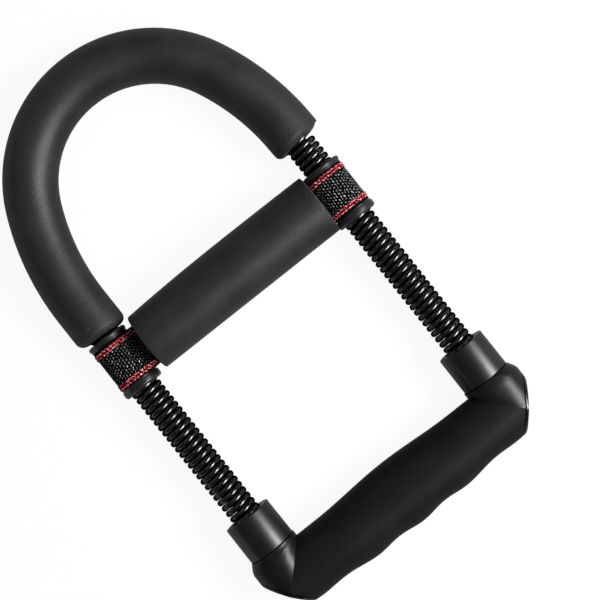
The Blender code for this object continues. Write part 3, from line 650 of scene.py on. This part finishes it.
def spring_points():
    """(turn, y) pairs along the wire, from the leg on the plug's flange to the leg under the stop ring."""
    slope = math.atan2(SPRING_PITCH, math.tau * COIL_RADIUS)
    leg = []
    steps = 8
    for step in range(1, steps + 1):
        bend = slope + (math.pi / 2 - slope) * step / steps
        around = LEG_BEND_RADIUS * (math.sin(bend) - math.sin(slope)) / COIL_RADIUS
        leg.append((around, LEG_BEND_RADIUS * (math.cos(slope) - math.cos(bend))))
    leg.append((leg[-1][0], leg[-1][1] + 2 * WIRE_RADIUS))
    rise = leg[-1][1]
    height = SPRING_HIGH_Y - SPRING_LOW_Y - 2 * rise
    turns = height / SPRING_PITCH
    count = round(turns * POINTS_PER_TURN)
    path = [(-around, SPRING_LOW_Y + rise - up) for around, up in reversed(leg)]
    for index in range(count + 1):
        path.append((math.tau * turns * index / count, SPRING_LOW_Y + rise + height * index / count))
    path += [(math.tau * turns + around, SPRING_HIGH_Y - rise + up) for around, up in leg]
    return path


def make_springs():
    """Each spring as one wound wire, from the bar's end to the collar."""
    path = spring_points()
    for name, side in SIDES:
        curve = bpy.data.curves.new("wire", "CURVE")
        curve.dimensions = "3D"
        curve.bevel_depth = WIRE_RADIUS
        curve.bevel_resolution = 4
        curve.use_fill_caps = True
        spline = curve.splines.new("POLY")
        spline.points.add(len(path) - 1)
        for point, (angle, y) in zip(spline.points, path):
            x = side * HALF_SPACING + COIL_RADIUS * math.cos(angle)
            point.co = (x, y, ARM_HEIGHT - COIL_RADIUS * math.sin(angle), 1)
        wire = bpy.data.objects.new("wire", curve)
        bpy.context.scene.collection.objects.link(wire)
        graph = bpy.context.evaluated_depsgraph_get()
        bm = bmesh.new()
        bm.from_mesh(bpy.data.meshes.new_from_object(wire.evaluated_get(graph)))
        bpy.data.objects.remove(wire)
        clean(bm)
        spring = piece(
            bm, f"{name}_coiled_wire", None, "spring_steel", wire_coat, replaced=[f"{name}_spring"]
        )
        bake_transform(spring)


# The grip: its elbows, the mitres where they turn into it, and its chamfered ends
ELBOW_INNER_X = 0.0576
ELBOW_OUTER_X = 0.0884
ELBOW_SEAT_OUTER_X = 0.0854
ELBOW_SEAT_Y = SEAT_Y - SLIDE_GAP
ELBOW_SEAT_HALF_HEIGHT = 0.0139
CORNER_Y = ELBOW_SEAT_Y - 0.0029
MITRE_FOOT_Y = CREST_Y + 0.0039
SHOULDER_DROP = 0.0056
SHOULDER_POWER = 1.35
CHAMFER_TOP = Vector((ELBOW_OUTER_X, SEAT_Y - 0.0119, ARM_HEIGHT))
CHAMFER_FOOT = Vector((ELBOW_OUTER_X - 0.0203, CREST_Y, ARM_HEIGHT))
CAP_THICKNESS = 0.0013
CAP_GAP = 0.0006

# The grip's edges: two narrow grooves in the middle, a wide one beyond each, and a swell for the palm
INNER_GROOVE_WIDTH = 0.030
OUTER_GROOVE_WIDTH = 0.038
GROOVE_DEPTH = 0.0014
CROWN = 0.0022
CROWN_REACH = 0.066
HALF_SWELL = 0.0010
SWELL_REACH = 0.045

# The grip's section, and the soft ridge along its top
SECTION_POWER = 2.2
SECTION_SEGMENTS = 72
RIDGE = 0.08
RIDGE_OFFSET = 0.15


def groove_depth(x):
    x = abs(x)
    if x < INNER_GROOVE_WIDTH:
        share = x / INNER_GROOVE_WIDTH
    else:
        share = min(1, (x - INNER_GROOVE_WIDTH) / OUTER_GROOVE_WIDTH)
    return GROOVE_DEPTH * (1 - math.cos(math.tau * share)) / 2


def outer_edge(x):
    return Vector((x, CREST_Y + CROWN * (x / CROWN_REACH) ** 2, ARM_HEIGHT))


def inner_edge(x):
    swell = HALF_SWELL * (1 + math.cos(math.pi * min(1, abs(x) / SWELL_REACH)))
    return Vector((x, CORNER_Y + swell, ARM_HEIGHT))


def grip_stations():
    """The grip's sections from its middle to its right seat.

    Each is (inner edge, outer edge, groove, half height, ridge).
    """
    half_height = GRIP_THICKNESS / 2
    stations = [(inner_edge(0), outer_edge(0), 0, half_height, 1)]
    steps = 24
    for step in range(1, steps + 1):
        x = INNER_GROOVE_WIDTH * step / steps
        stations.append((inner_edge(x), outer_edge(x), groove_depth(x), half_height, 1))
    steps = 36
    for step in range(1, steps + 1):
        share = step / steps
        inner_x = INNER_GROOVE_WIDTH + (ELBOW_INNER_X - INNER_GROOVE_WIDTH) * share
        outer_x = INNER_GROOVE_WIDTH + (ELBOW_OUTER_X - INNER_GROOVE_WIDTH) * share
        groove = groove_depth(outer_x)
        stations.append((inner_edge(inner_x), outer_edge(outer_x), groove, half_height, 1))
    mitre_y = stations[-1][1].y
    steps = 24
    for step in range(1, steps + 1):
        share = step / steps
        inner_y = CORNER_Y + (ELBOW_SEAT_Y - CORNER_Y) * share
        outer_y = mitre_y + (ELBOW_SEAT_Y - mitre_y) * share
        below_seat = min(1, max(0, (ELBOW_SEAT_Y - outer_y) / SHOULDER_DROP))
        flare = 1 - (1 - below_seat) ** SHOULDER_POWER
        outer_x = ELBOW_SEAT_OUTER_X + (ELBOW_OUTER_X - ELBOW_SEAT_OUTER_X) * flare
        thicker = (half_height - ELBOW_SEAT_HALF_HEIGHT) * min(1, (1 - share) * 4)
        inner = Vector((ELBOW_INNER_X, inner_y, ARM_HEIGHT))
        outer = Vector((outer_x, outer_y, ARM_HEIGHT))
        stations.append((inner, outer, 0, ELBOW_SEAT_HALF_HEIGHT + thicker, max(0, 1 - 2 * share)))
    return stations


def grip_ring(bm, station, side):
    """One section as a ring of vertices round a blunt oval with a soft ridge along its top."""
    inner, outer, groove, half_height, ridge = station
    middle, half = (inner + outer) / 2, (inner - outer) / 2
    ring = []
    for step in range(SECTION_SEGMENTS):
        angle = math.tau * step / SECTION_SEGMENTS
        across = math.copysign(abs(math.cos(angle)) ** (2 / SECTION_POWER), math.cos(angle))
        height = math.copysign(abs(math.sin(angle)) ** (2 / SECTION_POWER), math.sin(angle))
        height *= 1 - RIDGE * ridge * abs(across + RIDGE_OFFSET)
        point = middle + half * across
        point.y += groove * max(0, -across) ** 2
        point.z += half_height * height
        point.x *= side
        ring.append(bm.verts.new(point))
    return ring


def grip_form():
    """The whole grip before its ends are cut."""
    stations = grip_stations()
    bm = bmesh.new()
    rings = [grip_ring(bm, station, -1) for station in reversed(stations[1:])]
    rings += [grip_ring(bm, station, 1) for station in stations]
    loops = [[bm.edges.new(pair) for pair in zip(ring[-1:] + ring, ring)] for ring in rings]
    for first, second in zip(loops, loops[1:]):
        bmesh.ops.bridge_loops(bm, edges=first + second)
    bmesh.ops.contextual_create(bm, geom=loops[0])
    bmesh.ops.contextual_create(bm, geom=loops[-1])
    clean(bm)
    return bm


def chamfer_normal(side):
    along = CHAMFER_FOOT - CHAMFER_TOP
    return Vector((-along.y * side, along.x, 0)).normalized()


def chamfer_point(side, depth):
    """A point on the chamfer's plane, or on a plane that lies a depth below it."""
    point = Vector((CHAMFER_TOP.x * side, CHAMFER_TOP.y, CHAMFER_TOP.z))
    return point - chamfer_normal(side) * depth


def trim(bm, point, normal):
    """Cuts off what lies beyond a plane and closes the cut."""
    geom = bm.verts[:] + bm.edges[:] + bm.faces[:]
    result = bmesh.ops.bisect_plane(bm, geom=geom, plane_co=point, plane_no=normal, clear_outer=True)
    cut = [part for part in result["geom_cut"] if isinstance(part, bmesh.types.BMEdge)]
    bmesh.ops.contextual_create(bm, geom=cut)


def soften_cuts(bm, width):
    """Bevels the edges round the flat cuts, which are the faces with the most corners."""
    bm.normal_update()
    rims = [edge for edge in bm.edges if any(len(face.verts) > 20 for face in edge.link_faces)]
    bmesh.ops.bevel(
        bm, geom=rims, affect="EDGES", offset=width, segments=3, profile=0.5, material=-1,
        clamp_overlap=True,
    )


def make_grip():
    """The moulded grip, with glossier elbows and a crisp edge along each mitre."""
    bm = grip_form()
    for side in (-1, 1):
        trim(bm, chamfer_point(side, CAP_THICKNESS + CAP_GAP), chamfer_normal(side))
    soften_cuts(bm, 0.0004)
    rest_on_floor(bm)
    mitre_slope = (MITRE_FOOT_Y - CORNER_Y) / (ELBOW_OUTER_X - ELBOW_INNER_X)
    for face in bm.faces:
        middle = face.calc_center_median()
        beyond = abs(middle.x) - ELBOW_INNER_X
        if beyond > 0 and middle.y > CORNER_Y + mitre_slope * beyond:
            face.material_index = 1
    bm.edges.index_update()
    mitre = [edge.index for edge in bm.edges if len({face.material_index for face in edge.link_faces}) > 1]
    grip = piece(
        bm, "moulded_grip", "handle", "matt_plastic", satin, elbow_gloss, replaced=["grip"], smooth_angle=28
    )
    for index in mitre:
        grip.data.edges[index].use_edge_sharp = True


def make_caps():
    """A thin plate on each chamfered end."""
    for name, side in SIDES:
        bm = grip_form()
        trim(bm, chamfer_point(side, 0), chamfer_normal(side))
        trim(bm, chamfer_point(side, CAP_THICKNESS), -chamfer_normal(side))
        rest_on_floor(bm)
        soften_cuts(bm, 0.0005)
        piece(
            bm, f"{name}_end_plate", "handle", "gloss_plastic", cap_gloss, replaced=[f"{name}_end_cap"],
            smooth_angle=28,
        )


LAMP_DISTANCE = 1.2

# Each lamp's direction from the trainer, its width and height, and its level
LAMPS = {
    "main": ((0.66, -0.34, 0.67), (1.0, 0.55), 0.36),
    "core": ((0.61, -0.38, 0.70), (0.36, 0.3), 0.34),
    "low": ((0.40, -0.56, 0.73), (0.5, 0.4), 0.31),
    "back": ((-0.17, 0.55, 0.82), (0.8, 0.8), 0.04),
}

CAMERA_PLACE = (0.0207, -0.0229, 0.700)
CAMERA_TURN = math.radians(-38.41)
CAMERA_LENS = 78.1

# The floor is grey to the light that it throws back, and pale and mostly clear to the camera
FLOOR_GREY = (0.22, 0.22, 0.22)
FLOOR_PALE = (0.9, 0.9, 0.9)
FLOOR_CLEARNESS = 0.92


def softbox(name, direction, size, level):
    """An area lamp aimed at the trainer. Its level is the share of full light that it gives the floor."""
    direction = Vector(direction).normalized()
    lamp = bpy.data.lights.new(name, "AREA")
    lamp.shape = "RECTANGLE"
    lamp.size, lamp.size_y = size
    lamp.energy = level * math.pi ** 2 * LAMP_DISTANCE ** 2 / direction.z
    obj = bpy.data.objects.new(name, lamp)
    obj.location = direction * LAMP_DISTANCE
    obj.rotation_euler = direction.to_track_quat("Z", "Y").to_euler()
    bpy.context.scene.collection.objects.link(obj)


def make_camera():
    """A camera straight above, at the photograph's distance and turn."""
    camera = bpy.data.cameras.new("camera")
    camera.sensor_width = 36
    camera.lens = CAMERA_LENS
    obj = bpy.data.objects.new("camera", camera)
    obj.location = CAMERA_PLACE
    obj.rotation_euler = (0, 0, CAMERA_TURN)
    bpy.context.scene.collection.objects.link(obj)
    bpy.context.scene.camera = obj


def make_floor():
    """A white floor with a faint shadow. The camera sees through most of it, to what a pose takes below."""
    bm = bmesh.new()
    bmesh.ops.create_grid(bm, x_segments=1, y_segments=1, size=6)
    mesh = bpy.data.meshes.new("floor")
    bm.to_mesh(mesh)
    bm.free()
    floor = bpy.data.objects.new("floor", mesh)
    bpy.context.scene.collection.objects.link(floor)
    finish = Finish("white_floor", FLOOR_GREY, 1.0, Specular_IOR_Level=0.0)
    camera = finish.seen_by("Camera")
    finish.set("Base Color", finish.mix(camera, FLOOR_GREY, FLOOR_PALE))
    finish.set("Alpha", 1 - camera * FLOOR_CLEARNESS - finish.seen_by("Shadow"))
    finish.set("Emission Color", (1, 1, 1, 1))
    finish.set("Emission Strength", camera * 0.1 + finish.seen_by("Glossy", "Transmission") * 0.15)
    mesh.materials.append(finish.material)


def make_studio():
    """Soft lamps under a dim sky that the camera sees as white, with a white horizon for reflections."""
    world = bpy.data.worlds.new("studio")
    bpy.context.scene.world = world
    world.use_nodes = True
    sky = Nodes(world.node_tree)
    direction = sky.node("TexCoord", output="Generated")
    turned_up = sky.node("Mapping", Vector=direction, Rotation=(math.pi / 2, 0, 0))
    height = sky.maths("ABSOLUTE", sky.axes(turned_up)[1])
    horizon = sky.ramp(height, 0.16, 0.08)
    seen = sky.seen_by("Camera") + sky.seen_by("Glossy", "Transmission") * horizon
    background = sky.tree.nodes["Background"]
    sky.connect(background.inputs["Strength"], seen * 0.9 + 0.1)
    sky.connect(background.inputs["Color"], (1, 1, 1, 1))
    bpy.context.scene.view_settings.view_transform = "Standard"
    for name, (direction, size, level) in LAMPS.items():
        softbox(name, direction, size, level)


foam = foam_finish()
cut_foam = cut_foam_finish()
webbing = webbing_finish()
thread = thread_finish()
satin = moulded_finish("satin_plastic", BLACK, 0.48, 2200, 0.18)
gloss = moulded_finish("gloss_plastic", BLACK, 0.28, 900, 0.60)
cap_gloss = moulded_finish("cap_plastic", BLACK, 0.14, 900, 0.6)
elbow_gloss = moulded_finish("elbow_plastic", BLACK, 0.29, 900, 0.35)
spool_plastic = moulded_finish("spool_plastic", (0.006, 0.006, 0.006), 0.27, 900, 0.75)
wire_coat = spring_finish()
black_steel = metal_finish("black_steel", (0.05, 0.05, 0.05), 0.4)
zinc = metal_finish("zinc_plate", (0.62, 0.62, 0.63), 0.3)

make_camera()
make_floor()
make_studio()
make_sleeve()
make_roll()
make_strap()
make_stitching()
make_spools()
make_collars()
make_springs()
make_grip()
make_caps()

# The steel pieces keep the shapes of their solids
for name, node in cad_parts.items():
    if not node.hide_render:
        node.data.materials.clear()
        node.data.materials.append(black_steel if name == "u_bar" else zinc)
